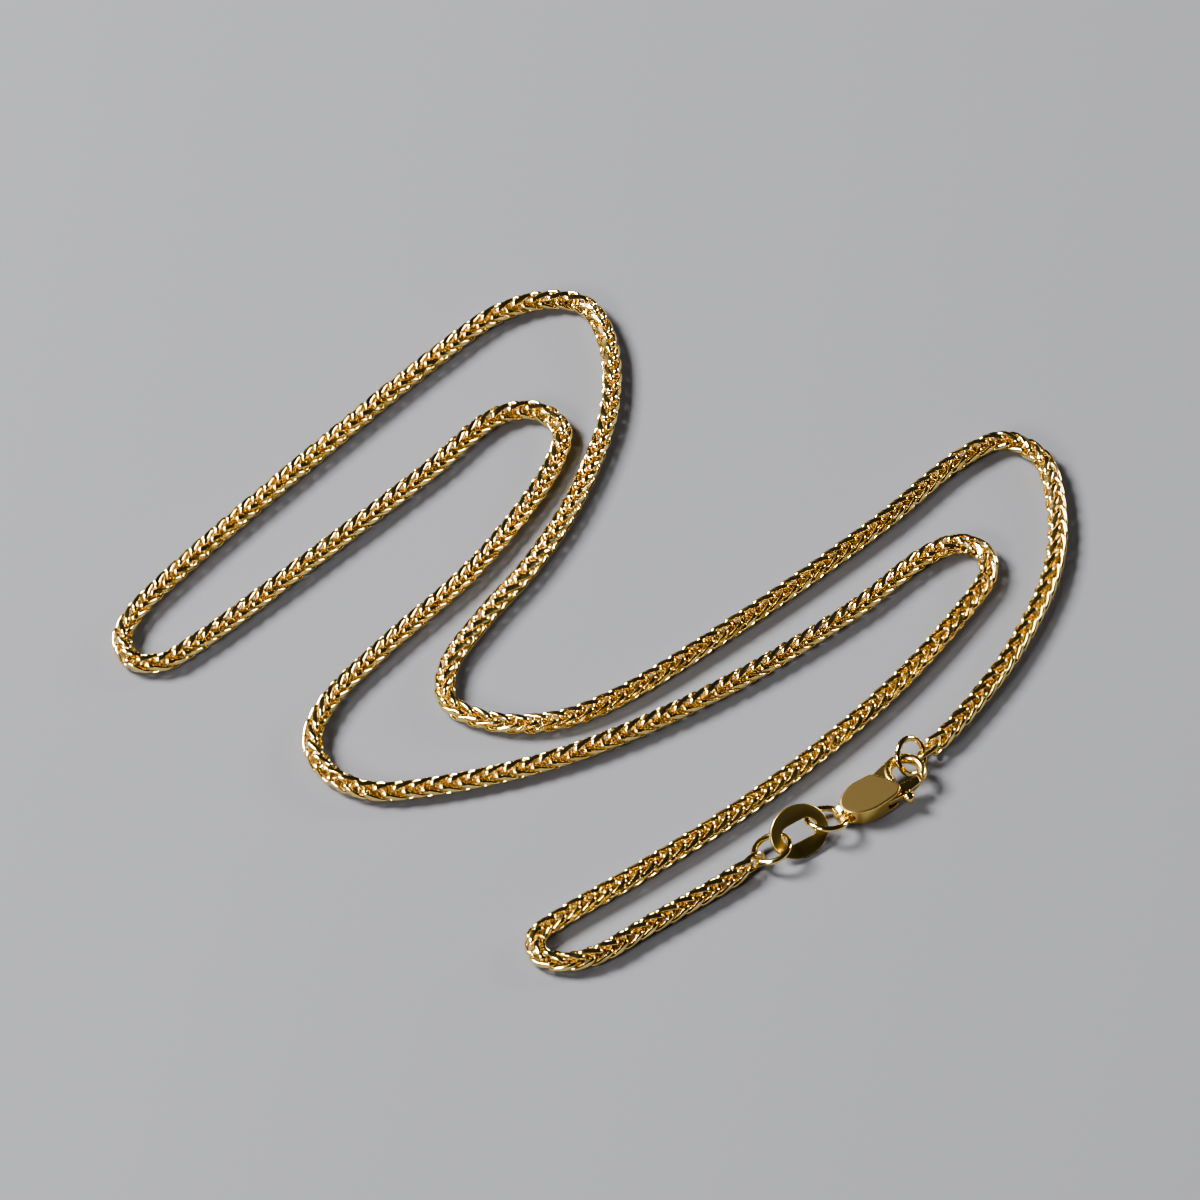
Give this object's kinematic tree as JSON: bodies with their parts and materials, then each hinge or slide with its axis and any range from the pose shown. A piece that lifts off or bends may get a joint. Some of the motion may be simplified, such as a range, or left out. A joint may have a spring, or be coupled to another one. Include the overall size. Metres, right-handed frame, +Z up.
{
  "type": "wheat chain necklace with lobster clasp",
  "caption": "Fine diamond-cut wheat chain necklace, closed by a lobster clasp and laid in loose S-bends on a flat surface.",
  "frame": {"origin": "under the middle of the footprint of the laid necklace, on the surface it lies on", "axes": "+Z up from the surface, +X along the longer side of the footprint, with the clasp at +X and -Y"},
  "size_m": [0.0867, 0.0808, 0.0034],
  "materials": {
    "polished_gold": "polished and diamond-cut 18 ct yellow gold",
    "satin_gold": "flat-polished 18 ct yellow gold with a fine satin grain"
  },
  "bodies": {
    "necklace": {"chain_first_half": "polished_gold", "chain_second_half": "polished_gold", "hook_ring": "polished_gold", "clasp_body": "satin_gold", "tail_ring": "polished_gold", "oval_plate": "satin_gold", "link_ring": "polished_gold"},
    "lever": {"clasp_lever": "polished_gold"}
  },
  "joints": [
    {"name": "lever_pivot", "type": "hinge", "parent": "necklace", "child": "lever", "pos_m": [0.02659, -0.0208, 0.00129], "axis": [-0.0694, -0.0401, 0.9968], "range_deg": [0, 18], "stiffness_Nm_per_rad": 0.003}
  ]
}
